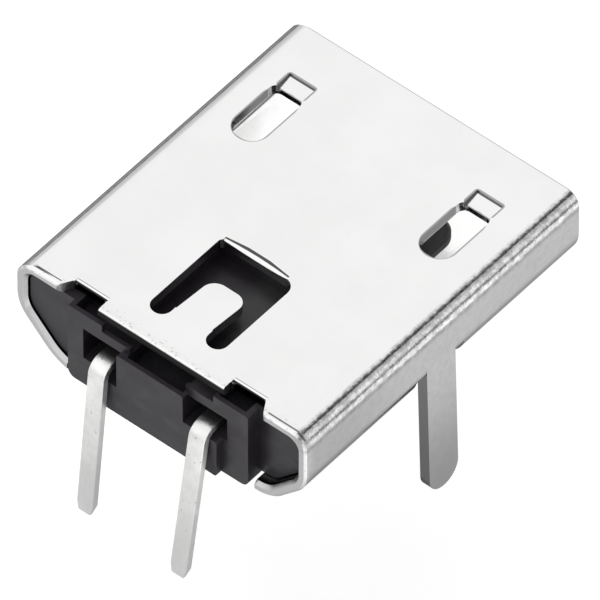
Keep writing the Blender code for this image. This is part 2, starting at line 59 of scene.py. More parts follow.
NO_VECTOR = (0.0, 0.0, 0.0)

log = logging.getLogger("socket")

Triple = tuple[float, float, float]
Colour = Triple
Span = tuple[float, float]
Parts = dict[str, bpy.types.NodeSocket]


class Slot(Enum):
    """The record's material slots."""

    NICKEL = "nickel_plate"
    INSULATOR = "black_insulator"
    TIN = "tin_plate"


class Axis(Enum):
    """The outputs of a Separate XYZ node, by direction."""

    X = "X"
    Y = "Y"
    Z = "Z"


def grey(level: float) -> Colour:
    """A neutral colour of this linear level."""
    return (level, level, level)


def dimmed(colour: Colour, share: float) -> Colour:
    """A colour with each part multiplied by a share."""
    return tuple(part * share for part in colour)


@dataclass(frozen=True)
class Pattern:
    """A noise pattern: the size of one blotch in metres, its finer layers and how strong they are."""

    grain: float
    layers: float = 3.0
    rough: float = 0.5


@dataclass
class Graph:
    """A material's or the world's node tree, with short calls for the nodes used here."""

    tree: bpy.types.NodeTree

    def node(self, kind: str, **settings: object) -> bpy.types.Node:
        """Adds a node.

        Args:
            kind: the node's type name.
            settings: properties of the node, set by name.

        Returns:
            The new node.
        """
        made = self.tree.nodes.new(kind)
        for name, value in settings.items():
            setattr(made, name, value)
        return made

    def link(self, source: bpy.types.NodeSocket, target: bpy.types.NodeSocket) -> None:
        """Joins an output to an input."""
        self.tree.links.new(source, target)

    def feed(self, target: bpy.types.NodeSocket, value: object) -> None:
        """Gives an input its value.

        Args:
            target: the input.
            value: an output to join to it, or a plain value to set.
        """
        if isinstance(value, bpy.types.NodeSocket):
            self.link(value, target)
        else:
            target.default_value = value

    def place(self) -> bpy.types.NodeSocket:
        """The Object coordinates, in metres."""
        return self.node("ShaderNodeTexCoord").outputs["Object"]

    def normal(self) -> bpy.types.NodeSocket:
        """The direction that the surface faces."""
        return self.node("ShaderNodeNewGeometry").outputs["Normal"]

    def stretch(self, source: bpy.types.NodeSocket, scale: Triple) -> bpy.types.NodeSocket:
        """Scales coordinates.

        Args:
            source: the coordinates.
            scale: the factor along each axis.

        Returns:
            The scaled coordinates.
        """
        mapping = self.node("ShaderNodeMapping")
        self.link(source, mapping.inputs["Vector"])
        mapping.inputs["Scale"].default_value = scale
        return mapping.outputs["Vector"]

    def along(self, source: bpy.types.NodeSocket, axis: Axis) -> bpy.types.NodeSocket:
        """One coordinate of a vector.

        Args:
            source: the vector.
            axis: which coordinate.

        Returns:
            The coordinate.
        """
        split = self.node("ShaderNodeSeparateXYZ")
        self.link(source, split.inputs[0])
        return split.outputs[axis.value]

    def noise(self, source: bpy.types.NodeSocket, pattern: Pattern) -> bpy.types.NodeSocket:
        """A noise pattern.

        Args:
            source: the coordinates, in metres.
            pattern: its grain and layers.

        Returns:
            The pattern, about 0.5 on average.
        """
        made = self.node("ShaderNodeTexNoise")
        self.link(source, made.inputs["Vector"])
        made.inputs["Scale"].default_value = 1.0 / pattern.grain
        made.inputs["Detail"].default_value = pattern.layers
        made.inputs["Roughness"].default_value = pattern.rough
        return made.outputs["Fac"]

    def remap(self, source: object, span: Span, to: Span) -> bpy.types.NodeSocket:
        """Maps a range to another, held at both ends.

        Args:
            source: the value.
            span: the start and the end of its range.
            to: the results at the two.

        Returns:
            The mapped value.
        """
        made = self.node("ShaderNodeMapRange", clamp=True, interpolation_type="SMOOTHSTEP")
        self.feed(made.inputs["Value"], source)
        for name, value in zip(("From Min", "From Max", "To Min", "To Max"), (*span, *to)):
            made.inputs[name].default_value = value
        return made.outputs["Result"]

    def rise(self, source: object, span: Span, full: float = 1.0) -> bpy.types.NodeSocket:
        """A mask that grows from nothing to full over a range."""
        return self.remap(source, span, (0.0, full))

    def drop(self, source: object, span: Span, full: float = 1.0) -> bpy.types.NodeSocket:
        """A mask that falls from full to nothing over a range."""
        return self.remap(source, span, (full, 0.0))

    def within(self, source: object, span: Span, soft: float) -> bpy.types.NodeSocket:
        """A mask that is full over a range.

        Args:
            source: the value.
            span: where the mask is full.
            soft: how far it takes to fade, outside both ends.

        Returns:
            The mask.
        """
        start, end = span
        return self.product(self.rise(source, (start - soft, start)), self.drop(source, (end, end + soft)))

    def math(self, operation: str, first: object, second: object) -> bpy.types.NodeSocket:
        """One Math node on two values.

        Args:
            operation: what it does.
            first: an output or a number.
            second: an output or a number.

        Returns:
            The result.
        """
        made = self.node("ShaderNodeMath", operation=operation)
        self.feed(made.inputs[0], first)
        self.feed(made.inputs[1], second)
        return made.outputs[0]

    def chain(self, operation: str, values: Sequence[object]) -> object:
        """Puts values together, one Math node after another.

        Args:
            operation: what each node does.
            values: outputs or numbers.

        Returns:
            The result.
        """
        made = values[0]
        for value in values[1:]:
            made = self.math(operation, made, value)
        return made

    def product(self, *values: object) -> object:
        """Multiplies values together."""
        return self.chain("MULTIPLY", values)

    def largest(self, *values: object) -> object:
        """The largest of several values."""
        return self.chain("MAXIMUM", values)

    def size(self, source: object) -> bpy.types.NodeSocket:
        """A value without its sign."""
        return self.math("ABSOLUTE", source, 0.0)

    def vector(self, operation: str, first: object, second: object = NO_VECTOR,
               output: int = 0) -> bpy.types.NodeSocket:
        """One Vector Math node on two vectors.

        Args:
            operation: what it does.
            first: a vector or an output.
            second: a vector or an output.
            output: 0 for a vector, 1 for a value.

        Returns:
            The result.
        """
        made = self.node("ShaderNodeVectorMath", operation=operation)
        self.feed(made.inputs[0], first)
        self.feed(made.inputs[1], second)
        return made.outputs[output]

    def blend(self, share: object, first: object, second: object) -> bpy.types.NodeSocket:
        """Mixes two colours.

        Args:
            share: how much of the second colour.
            first: a colour or an output.
            second: a colour or an output.

        Returns:
            The mixed colour.
        """
        made = self.node("ShaderNodeMix", data_type="RGBA")
        self.feed(made.inputs["Factor"], share)
        for socket, value in ((made.inputs[6], first), (made.inputs[7], second)):
            self.feed(socket, (*value, 1.0) if isinstance(value, tuple) else value)
        return made.outputs[2]

    def bump(self, height: bpy.types.NodeSocket, depth: float) -> bpy.types.NodeSocket:
        """A bump.

        Args:
            height: the height pattern, from 0 to 1.
            depth: the height in metres at which it is 1.

        Returns:
            The bumped normal.
        """
        made = self.node("ShaderNodeBump")
        made.inputs["Strength"].default_value = 1.0
        made.inputs["Distance"].default_value = depth
        self.link(height, made.inputs["Height"])
        return made.outputs["Normal"]


@dataclass(frozen=True)
class Finish:
    """A surface finish: its name and the start of its shader."""

    name: str

    def start(self) -> tuple[bpy.types.Material, Graph, bpy.types.Node]:
        """Makes an empty material.

        Returns:
            The material, its graph and its Principled shader.
        """
        made = bpy.data.materials.new(self.name)
        made.use_nodes = True
        return made, Graph(made.node_tree), made.node_tree.nodes["Principled BSDF"]


@dataclass(frozen=True)
class CutFaces:
    """The sheared ends of the sheet and its inner side. Faces are told apart by place and by direction."""

    middle_z: float = 1.21 * MM
    inward: Span = (-0.1 * MM, -0.3 * MM)
    square_on: Span = (0.90, 0.97)
    rolled_in: Span = (0.45, 0.6)
    inner_z: Span = (1.0 * MM, 0.6 * MM)
    inner_painted_light_tone: Colour = (0.985, 0.985, 0.98)
    rim_tone: float = 0.48
    rim_share: float = 0.8
    leg_y: Span = (-3.9 * MM, 3.9 * MM)
    leg_soft: float = 0.1 * MM
    leg_z: Span = (1.25 * MM, 1.15 * MM)
    leg_shade_tone: float = 0.15
    leg_share: float = 0.85
    hidden_y: Span = (3.95 * MM, 4.15 * MM)
    hidden_facing: Span = (0.3, 0.45)
    under_facing: Span = (0.66, 0.84)
    under_x: Span = (2.64 * MM, 2.72 * MM)
    under_y: Span = (3.5 * MM, 3.6 * MM)
    under_z: Span = (1.95 * MM, 2.05 * MM)
    under_edge_shade_tone: float = 0.03

    def paint(self, graph: Graph, at: Parts, base: object) -> object:
        """Colours the ends grey. Painted light makes the inner side pale, and painted shade darkens the leg
        ends and makes the faces under the rear edge darkest.

        Args:
            graph: the material's graph.
            at: the parts of the place and the normal.
            base: the colour so far.

        Returns:
            The new colour.
        """
        spoke = graph.vector("SUBTRACT", at["place"], (0.0, 0.0, self.middle_z))
        spoke = graph.vector("MULTIPLY", spoke, (1.0, 0.0, 1.0))
        inward = graph.rise(graph.vector("DOT_PRODUCT", spoke, at["normal"], output=1), self.inward)
        facing = graph.rise(graph.size(at["ny"]), self.square_on)
        rim = graph.largest(facing, graph.product(inward, graph.rise(at["ny"], self.rolled_in)))
        # Painted light: the inner side is made pale.
        base = graph.blend(graph.product(inward, graph.rise(at["z"], self.inner_z)), base, self.inner_painted_light_tone)
        base = graph.blend(graph.product(rim, self.rim_share), base, grey(self.rim_tone))
        # Painted shade: the cut ends on the legs are darker.
        leg_shade = graph.product(facing, graph.within(at["y"], self.leg_y, self.leg_soft),
                             graph.rise(at["z"], self.leg_z, self.leg_share))
        base = graph.blend(leg_shade, base, grey(self.leg_shade_tone))
        # Painted shade: the inner side by the rear edge, and the rear-facing ends in the middle of the top,
        # are near black.
        hidden = graph.product(inward, graph.rise(at["y"], self.hidden_y),
                               graph.drop(at["ny"], self.hidden_facing))
        under = graph.product(graph.rise(at["ny"], self.under_facing), graph.drop(at["across"], self.under_x),
                              graph.rise(at["y"], self.under_y), graph.rise(at["z"], self.under_z))
        return graph.blend(graph.largest(hidden, under), base, grey(self.under_edge_shade_tone))


@dataclass(frozen=True)
class Windows:
    """Painted shade: dark lines round the two latch windows and their lead-ins, and on the windows'
    sheared sides.
    """

    area_x: Span = (1.99 * MM, 2.90 * MM)
    area_y: Span = (-3.10 * MM, -1.0 * MM)
    area_soft: float = 0.05 * MM
    middle: Span = (2.435 * MM, -1.86 * MM)
    half: Span = (0.395 * MM, 0.79 * MM)
    radius: float = 0.39 * MM
    lead_in_middle: Span = (2.43 * MM, -2.84 * MM)
    lead_in_half: Span = (0.345 * MM, 0.20 * MM)
    lead_in_radius: float = 0.05 * MM
    line_half: float = 0.028 * MM
    line_soft: float = 0.012 * MM
    line_share: float = 0.6
    slope_facing: Span = (0.30, 0.94)
    slope_soft: float = 0.03
    slope_share: float = 0.5
    wall_facing: Span = (0.1, 0.25)
    wall_x: Span = (0.0, 0.1 * MM)
    wall_y: Span = (-2.3 * MM, -1.5 * MM)
    wall_shares: Span = (0.25, 0.95)

    def ring(self, graph: Graph, at: Parts, middle: Span, half: Span, radius: float) -> bpy.types.NodeSocket:
        """A thin line along a rounded rectangle on the top, and along its mirror image.

        Args:
            graph: the material's graph.
            at: the parts of the place and the normal.
            middle: the rectangle's middle.
            half: half its width and half its length.
            radius: its corner radius, more than half the line and its soft edge.

        Returns:
            The line's mask.
        """
        folded = graph.vector("MULTIPLY", graph.vector("ABSOLUTE", at["place"]), (1.0, 0.0, 0.0))
        level = graph.vector("MULTIPLY", at["place"], (0.0, 1.0, 0.0))
        offset = graph.vector("SUBTRACT", graph.vector("ADD", folded, level), (*middle, 0.0))
        inset = (half[0] - radius, half[1] - radius, 0.0)
        over = graph.vector("SUBTRACT", graph.vector("ABSOLUTE", offset), inset)
        length = graph.vector("LENGTH", graph.vector("MAXIMUM", over), output=1)
        distance = graph.math("SUBTRACT", length, radius)
        return graph.within(distance, (-self.line_half, self.line_half), self.line_soft)

    def lines(self, graph: Graph, at: Parts, top: object) -> object:
        """The mask of the painted shade lines.

        Args:
            graph: the material's graph.
            at: the parts of the place and the normal.
            top: the mask of the sheet's top.

        Returns:
            The mask.
        """
        around = graph.product(graph.within(at["across"], self.area_x, self.area_soft),
                               graph.within(at["y"], self.area_y, self.area_soft), top)
        # Painted shade on the sloped lead-ins, and on the windows' sheared sides, darker towards the rear.
        slope = graph.product(around, graph.within(at["nz"], self.slope_facing, self.slope_soft),
                              self.slope_share)
        wall = graph.product(around, graph.drop(graph.size(at["nz"]), self.wall_facing),
                             graph.rise(at["x"], self.wall_x),
                             graph.remap(at["y"], self.wall_y, self.wall_shares))
        window = self.ring(graph, at, self.middle, self.half, self.radius)
        lead_in = self.ring(graph, at, self.lead_in_middle, self.lead_in_half, self.lead_in_radius)
        rounded = graph.product(graph.largest(window, lead_in), around, self.line_share)
        return graph.largest(rounded, slope, wall)


@dataclass(frozen=True)
class Creases:
    """Painted dark reflections along the lines where the sheet turns down: at its rear edge, its locking tab
    and its two folds.
    """

    top_z: Span = (2.05 * MM, 2.25 * MM)
    rear_facing: Span = (0.06, 0.20)
    rear_soft: float = 0.03
    rear_x: Span = (1.60 * MM, 1.64 * MM)
    rear_y: Span = (3.5 * MM, 3.6 * MM)
    roll_y: Span = (4.135 * MM, 4.16 * MM)
    roll_soft: float = 0.012 * MM
    roll_x: Span = (-2.68 * MM, -2.74 * MM)
    roll_share: float = 0.9
    roll_facing: Span = (-0.3, -0.15)
    tab_facing: Span = (0.03, 0.46)
    tab_soft: float = 0.02
    tab_y: Span = (0.6 * MM, 2.0 * MM)
    tab_y_soft: float = 0.1 * MM
    line_shade_tone: float = 0.09
    broken: Pattern = Pattern(0.12 * MM, 3.0, 0.6)
    broken_span: Span = (0.40, 0.60)
    broken_shares: Span = (0.35, 1.0)
    fold_soft: float = 0.08
    right_facing: Span = (-0.44, -0.30)
    right_share: float = 0.75
    left_facing: Span = (0.45, 0.78)
    left_share: float = 0.75
    left_end: Span = (0.90, 0.98)
    end_y: Span = (4.13 * MM, 4.16 * MM)
    end_facing: Span = (-0.74, -0.22)
    end_roll: Span = (0.6, 0.8)
    end_share: float = 0.9
    fold_tone: float = 0.12

    def paint(self, graph: Graph, at: Parts, windows: Windows, base: object) -> object:
        """Paints dark reflection lines at the bends, shade lines round the windows, and dark reflections
        on the folds.

        Args:
            graph: the material's graph.
            at: the parts of the place and the normal.
            windows: the lines round the windows.
            base: the colour so far.

        Returns:
            The new colour.
        """
        top = graph.rise(at["z"], self.top_z)
        # Painted dark reflections along the rear edge, the rear end's roll and the locking tab's bend.
        rear = graph.product(graph.within(at["ny"], self.rear_facing, self.rear_soft),
                             graph.rise(at["y"], self.rear_y), graph.rise(at["across"], self.rear_x))
        roll = graph.product(graph.within(at["y"], self.roll_y, self.roll_soft),
                             graph.rise(at["x"], self.roll_x, self.roll_share),
                             graph.rise(at["nx"], self.roll_facing))
        tab = graph.product(graph.within(at["ny"], self.tab_facing, self.tab_soft),
                            graph.within(at["y"], self.tab_y, self.tab_y_soft))
        crease = graph.product(graph.largest(rear, roll, tab), top)
        base = graph.blend(graph.largest(crease, windows.lines(graph, at, top)), base, grey(self.line_shade_tone))
        # Painted dark reflections on the folds, broken up by noise on the right fold.
        broken = graph.remap(graph.noise(at["place"], self.broken), self.broken_span, self.broken_shares)
        right = graph.product(graph.within(at["nx"], self.right_facing, self.fold_soft), top, broken,
                              self.right_share)
        left = graph.product(graph.rise(at["nx"], self.left_facing, self.left_share),
                             graph.drop(at["nx"], self.left_end), top)
        end = graph.product(graph.rise(at["y"], self.end_y), top,
                            graph.within(at["nx"], self.end_facing, self.fold_soft),
                            graph.drop(at["ny"], self.end_roll), self.end_share)
        return graph.blend(graph.largest(right, left, end), base, grey(self.fold_tone))


@dataclass(frozen=True)
class NickelPlate(Finish):
    """Semi-bright nickel over drawn steel sheet. Places are in metres, and tones are linear greys."""

    tone: Colour = (0.885, 0.885, 0.882)
    cloud: Pattern = Pattern(1.6 * MM, 4.0, 0.55)
    cloud_span: Span = (0.3, 0.7)
    cloud_share: float = 0.965
    blotch: Pattern = Pattern(0.17 * MM, 5.0, 0.7)
    side_facing: Span = (0.85, 0.97)
    side_blotch_and_shade_tone: float = 0.5
    side_blotch: Span = (0.35, 0.7)
    side_shares: Span = (0.05, 0.27)
    side_y: Span = (0.8 * MM, 3.2 * MM)
    side_rear_shade_share: float = 0.34
    fold_x: Span = (-3.50 * MM, -3.44 * MM)
    fold_z: Span = (1.95 * MM, 2.10 * MM)
    fold_blotch: Span = (0.36, 0.62)
    fold_shares: Span = (0.15, 0.8)
    fold_tone: float = 0.42
    leg_x: Span = (3.38 * MM, 3.45 * MM)
    leg_z: Span = (1.25 * MM, -2.4 * MM)
    leg_share: float = 0.72
    leg_shade_tone: float = 0.36
    edge_y: Span = (3.90 * MM, 4.17 * MM)
    pit: Pattern = Pattern(0.06 * MM, 2.0)
    pit_span: Span = (0.60, 0.70)
    pit_share: float = 0.45
    pit_tone: float = 0.25
    grain: Pattern = Pattern(0.09 * MM, 3.0, 0.6)
    grain_stretch: Triple = (1.0, 0.45, 1.0)
    grain_span: Span = (0.3, 0.7)
    grain_relief: float = 0.08
    roughness: Span = (0.10, 0.18)
    edge_roughness: float = 0.18
    grazing_tint: float = 0.45
    wave: Pattern = Pattern(0.15 * MM, 5.0, 0.7)
    wave_x: Span = (-3.50 * MM, -3.60 * MM)
    wave_shares: Span = (0.3, 1.0)
    relief: float = 0.010 * MM
    cut_faces: CutFaces = CutFaces()
    windows: Windows = Windows()
    creases: Creases = Creases()

    def parts(self, graph: Graph) -> Parts:
        """Takes the place and the direction of the surface apart.

        Args:
            graph: the material's graph.

        Returns:
            The place, the normal, their parts, and across, the distance from the middle plane.
        """
        found = {"place": graph.place(), "normal": graph.normal()}
        for axis in Axis:
            found[axis.value.lower()] = graph.along(found["place"], axis)
            found["n" + axis.value.lower()] = graph.along(found["normal"], axis)
        found["across"] = graph.size(found["x"])
        return found

    def plating(self, graph: Graph, at: Parts, fold: object, near_edge: object) -> object:
        """The plating's colour: cloudy, blotched on its sides and right fold, pitted by the rear edge.
        Painted shade darkens its sides towards the rear, its right fold, and each leg towards its tip.

        Args:
            graph: the material's graph.
            at: the parts of the place and the normal.
            fold: the mask of the right fold.
            near_edge: the mask of the strip by the rear edge.

        Returns:
            The colour.
        """
        place = at["place"]
        blotch = graph.noise(place, self.blotch)
        cloudy = graph.rise(graph.noise(place, self.cloud), self.cloud_span)
        base = graph.blend(cloudy, dimmed(self.tone, self.cloud_share), self.tone)
        side = graph.rise(graph.size(at["nx"]), self.side_facing)
        # Random blotches on the sides, then painted shade that darkens the sides towards the rear.
        for share in (graph.remap(blotch, self.side_blotch, self.side_shares),
                      graph.rise(at["y"], self.side_y, self.side_rear_shade_share)):
            base = graph.blend(graph.product(side, share), base, grey(self.side_blotch_and_shade_tone))
        # The right fold: blotched plating, and painted shade that darkens it in those blotches.
        blotched = graph.product(fold, graph.remap(blotch, self.fold_blotch, self.fold_shares))
        base = graph.blend(blotched, base, grey(self.fold_tone))
        # Painted shade: each leg grows darker towards its tip.
        leg_shade = graph.product(graph.rise(at["z"], self.leg_z, self.leg_share),
                             graph.rise(at["across"], self.leg_x))
        base = graph.blend(leg_shade, base, grey(self.leg_shade_tone))
        pits = graph.product(near_edge, graph.rise(graph.noise(place, self.pit), self.pit_span),
                             self.pit_share)
        return graph.blend(pits, base, grey(self.pit_tone))

    def material(self) -> bpy.types.Material:
        """Builds the plated surface, finely grained and dimpled along the right fold.

        Returns:
            The material.
        """
        made, graph, shader = self.start()
        at = self.parts(graph)
        place = at["place"]
        fold = graph.product(graph.drop(at["x"], self.fold_x), graph.rise(at["z"], self.fold_z))
        near_edge = graph.rise(at["y"], self.edge_y)
        base = self.plating(graph, at, fold, near_edge)
        # Painted light and shade on the inner side, the cut ends of the legs and under the rear edge.
        base = self.cut_faces.paint(graph, at, base)
        # Painted dark reflections at the bends and on the folds, and painted shade round the windows.
        base = self.creases.paint(graph, at, self.windows, base)
        graph.link(base, shader.inputs["Base Color"])
        shader.inputs["Metallic"].default_value = 1.0
        grain = graph.noise(graph.stretch(place, self.grain_stretch), self.grain)
        rough = graph.math("ADD", graph.remap(grain, self.grain_span, self.roughness),
                           graph.product(near_edge, self.edge_roughness))
        graph.link(rough, shader.inputs["Roughness"])
        shader.inputs["Specular Tint"].default_value = (*grey(self.grazing_tint), 1.0)
        waves = graph.product(fold, graph.noise(place, self.wave),
                              graph.remap(at["x"], self.wave_x, self.wave_shares))
        relief = graph.math("ADD", graph.product(grain, self.grain_relief), waves)
        graph.link(graph.bump(relief, self.relief), shader.inputs["Normal"])
        return made


@dataclass(frozen=True)
class TinPlate(Finish):
    """Matt tin over stamped copper alloy strip, with painted shade at its root, and darker towards its tip.
    """

    tone: Colour = (0.93, 0.93, 0.915)
    cloud: Pattern = Pattern(0.5 * MM, 4.0, 0.6)
    cloud_span: Span = (0.35, 0.7)
    cloud_share: float = 0.86
    speck: Pattern = Pattern(0.11 * MM, 2.0)
    speck_span: Span = (0.66, 0.74)
    speck_share: float = 0.55
    speck_tone: float = 0.22
    tip_z: Span = (1.0 * MM, -2.4 * MM)
    tip_share: float = 0.8
    tip_tone: float = 0.56
    root_start: Span = (3.4 * MM, 3.6 * MM)
    root_end: Span = (4.22 * MM, 4.46 * MM)
    root_share: float = 0.85
    root_shade_tone: float = 0.10
    drawn: Pattern = Pattern(0.05 * MM, 3.0, 0.6)
    drawn_stretch: Triple = (1.0, 1.0, 0.12)
    drawn_span: Span = (0.3, 0.7)
    roughness: Span = (0.34, 0.52)
    relief: float = 0.002 * MM

    def material(self) -> bpy.types.Material:
        """Builds the tinned surface: drawn lines along the strip, soft clouds and small dark specks.

        Returns:
            The material.
        """
        made, graph, shader = self.start()
        place = graph.place()
        depth = graph.along(place, Axis.Y)
        cloudy = graph.rise(graph.noise(place, self.cloud), self.cloud_span)
        base = graph.blend(cloudy, dimmed(self.tone, self.cloud_share), self.tone)
        specks = graph.rise(graph.noise(place, self.speck), self.speck_span)
        base = graph.blend(graph.product(specks, self.speck_share), base, grey(self.speck_tone))
        # Darker towards the tip.
        tip = graph.rise(graph.along(place, Axis.Z), self.tip_z, self.tip_share)
        base = graph.blend(tip, base, grey(self.tip_tone))
        # Painted shade at the root, where the strip leaves the housing.
        root = graph.product(graph.rise(depth, self.root_start),
                             graph.drop(depth, self.root_end, self.root_share))
        base = graph.blend(root, base, grey(self.root_shade_tone))
        graph.link(base, shader.inputs["Base Color"])
        shader.inputs["Metallic"].default_value = 1.0
        drawn = graph.noise(graph.stretch(place, self.drawn_stretch), self.drawn)
        graph.link(graph.remap(drawn, self.drawn_span, self.roughness), shader.inputs["Roughness"])
        graph.link(graph.bump(drawn, self.relief), shader.inputs["Normal"])
        return made


@dataclass(frozen=True)
class BlackInsulator(Finish):
    """Glass-filled black plastic, matt from the mould, with faint dust on its rear. Painted light makes it
    paler at the front and in the pocket under the locking tab.
    """

    tone: Colour = (0.0110, 0.0085, 0.0125)
    index: float = 1.46
    flow: Pattern = Pattern(0.5 * MM, 4.0, 0.6)
    flow_stretch: Triple = (0.5, 1.0, 1.4)
    flow_span: Span = (0.3, 0.75)
    flow_gain: float = 1.6
    front_y: Span = (0.4 * MM, -0.6 * MM)
    front_share: float = 0.9
    front_painted_light_tone: float = 0.085
    pocket_y: Span = (0.6 * MM, 2.6 * MM)
    pocket_soft: float = 0.2 * MM
    pocket_x: Span = (0.2 * MM, -0.3 * MM)
    pocket_share: float = 0.8
    pocket_painted_light_tone: float = 0.030
    dust: Pattern = Pattern(0.5 * MM, 3.0)
    dust_span: Span = (0.50, 0.74)
    dust_share: float = 0.45
    dust_y: Span = (3.2 * MM, 3.6 * MM)
    dust_tone: float = 0.045
    upward: Span = (0.6, 0.9)
    slot_y: Span = (3.3 * MM, 3.4 * MM)
    slot_roughness: float = 0.4
    rough_span: Span = (0.3, 0.7)
    roughness: Span = (0.36, 0.50)
    grain: Pattern = Pattern(0.045 * MM, 3.0, 0.6)
    relief: float = 0.0015 * MM

    def material(self) -> bpy.types.Material:
        """Builds the moulded surface: black with a fine grain and faint flow marks, rougher by the rear slot.

        Returns:
            The material.
        """
        made, graph, shader = self.start()
        place = graph.place()
        across = graph.along(place, Axis.X)
        depth = graph.along(place, Axis.Y)
        flow = graph.noise(graph.stretch(place, self.flow_stretch), self.flow)
        base = graph.blend(graph.rise(flow, self.flow_span), self.tone, dimmed(self.tone, self.flow_gain))
        # Painted light: paler towards the front, under the latch windows.
        base = graph.blend(graph.rise(depth, self.front_y, self.front_share), base, grey(self.front_painted_light_tone))
        # Painted light: paler in the pocket under the right side of the locking tab.
        pocket = graph.product(graph.within(depth, self.pocket_y, self.pocket_soft),
                               graph.rise(across, self.pocket_x, self.pocket_share))
        base = graph.blend(pocket, base, grey(self.pocket_painted_light_tone))
        dust = graph.product(graph.rise(graph.noise(place, self.dust), self.dust_span, self.dust_share),
                             graph.rise(depth, self.dust_y))
        base = graph.blend(dust, base, grey(self.dust_tone))
        graph.link(base, shader.inputs["Base Color"])
        shader.inputs["IOR"].default_value = self.index
        slot = graph.product(graph.rise(depth, self.slot_y, self.slot_roughness),
                             graph.rise(graph.along(graph.normal(), Axis.Z), self.upward))
        rough = graph.math("ADD", slot, graph.remap(flow, self.rough_span, self.roughness))
        graph.link(rough, shader.inputs["Roughness"])
        graph.link(graph.bump(graph.noise(place, self.grain), self.relief), shader.inputs["Normal"])
        return made


@dataclass
class Piece:
    """One real piece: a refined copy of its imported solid, with its edges broken."""

    node: str
    name: str
    slot: Slot
    finish: Finish
    edge_break: float
    edge_steps: int = 2
    crease_deg: float = 28.0
    smooth_deg: float = 60.0
    merge: float = 0.0001 * MM
    coplanar_deg: float = 0.6
    area_weight: int = 100
    flat_area: float = 0.03 * MM * MM
    level: float = 0.02
    same_face_deg: float = 1.0
    bend_step_deg: float = 15.0

    def copy_solid(self) -> bpy.types.Object:
        """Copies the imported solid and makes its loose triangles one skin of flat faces.

        Returns:
            The copy, active and selected alone.
        """
        source = bpy.data.objects[self.node]
        made = bpy.data.objects.new(self.name, source.data.copy())
        made.data.name = self.name
        bpy.context.scene.collection.objects.link(made)
        bpy.ops.object.select_all(action="DESELECT")
        made.select_set(True)
        bpy.context.view_layer.objects.active = made
        bpy.ops.object.mode_set(mode="EDIT")
        bpy.ops.mesh.customdata_custom_splitnormals_clear()
        bpy.ops.mesh.select_all(action="SELECT")
        bpy.ops.mesh.remove_doubles(threshold=self.merge)
        bpy.ops.mesh.dissolve_limited(angle_limit=math.radians(self.coplanar_deg))
        bpy.ops.object.mode_set(mode="OBJECT")
        return made

    def break_edges(self, made: bpy.types.Object) -> None:
        """Rounds every sharp edge by the piece's edge break.

        Args:
            made: the copy of the solid.
        """
        bevel = made.modifiers.new("edge_break", "BEVEL")
        bevel.width = self.edge_break
        bevel.segments = self.edge_steps
        bevel.limit_method = "ANGLE"
        bevel.angle_limit = math.radians(self.crease_deg)
        bevel.use_clamp_overlap = True
        bpy.ops.object.modifier_apply(modifier=bevel.name)

    def flatten(self, made: bpy.types.Object) -> None:
        """Keeps the large faces flat beside their rounded edges.

        A large face with no bend facet beside it takes its own normal at every corner. A bend facet keeps its
        rounded corners, and only loses the parts along the axes it runs parallel to.

        Args:
            made: the smooth-shaded mesh.
        """
        weighted = made.modifiers.new("flat_faces", "WEIGHTED_NORMAL")
        weighted.mode = "FACE_AREA"
        weighted.weight = self.area_weight
        weighted.keep_sharp = True
        bpy.ops.object.modifier_apply(modifier=weighted.name)
        faces = made.data.polygons
        beside: dict[tuple[int, int], list[int]] = {}
        for face in faces:
            for key in face.edge_keys:
                beside.setdefault(key, []).append(face.index)
        normals = [corner.vector.copy() for corner in made.data.corner_normals]
        for face in faces:
            if face.area < self.flat_area:
                continue
            neighbours = [faces[other] for key in face.edge_keys for other in beside[key]]
            turns = [math.degrees(face.normal.angle(other.normal)) for other in neighbours]
            alone = not any(self.same_face_deg < turn < self.bend_step_deg for turn in turns)
            keep = Vector(0.0 if abs(part) < self.level else 1.0 for part in face.normal)
            for corner in face.loop_indices:
                normals[corner] = face.normal.copy() if alone else (normals[corner] * keep).normalized()
        made.data.normals_split_custom_set(normals)

    def dress(self, made: bpy.types.Object) -> None:
        """Gives the piece its finish, hides its imported solid and puts it under the root body.

        Args:
            made: the finished mesh.
        """
        made.data.materials.clear()
        made.data.materials.append(self.finish.material())
        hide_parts(self.node)
        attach(made, "root")

    def build(self) -> bpy.types.Object:
        """Builds the piece.

        Returns:
            The finished piece.
        """
        made = self.copy_solid()
        self.break_edges(made)
        bpy.ops.object.shade_smooth_by_angle(angle=math.radians(self.smooth_deg))
        self.flatten(made)
        self.dress(made)
        log.info("%s: %d faces", made.name, len(made.data.polygons))
        return made


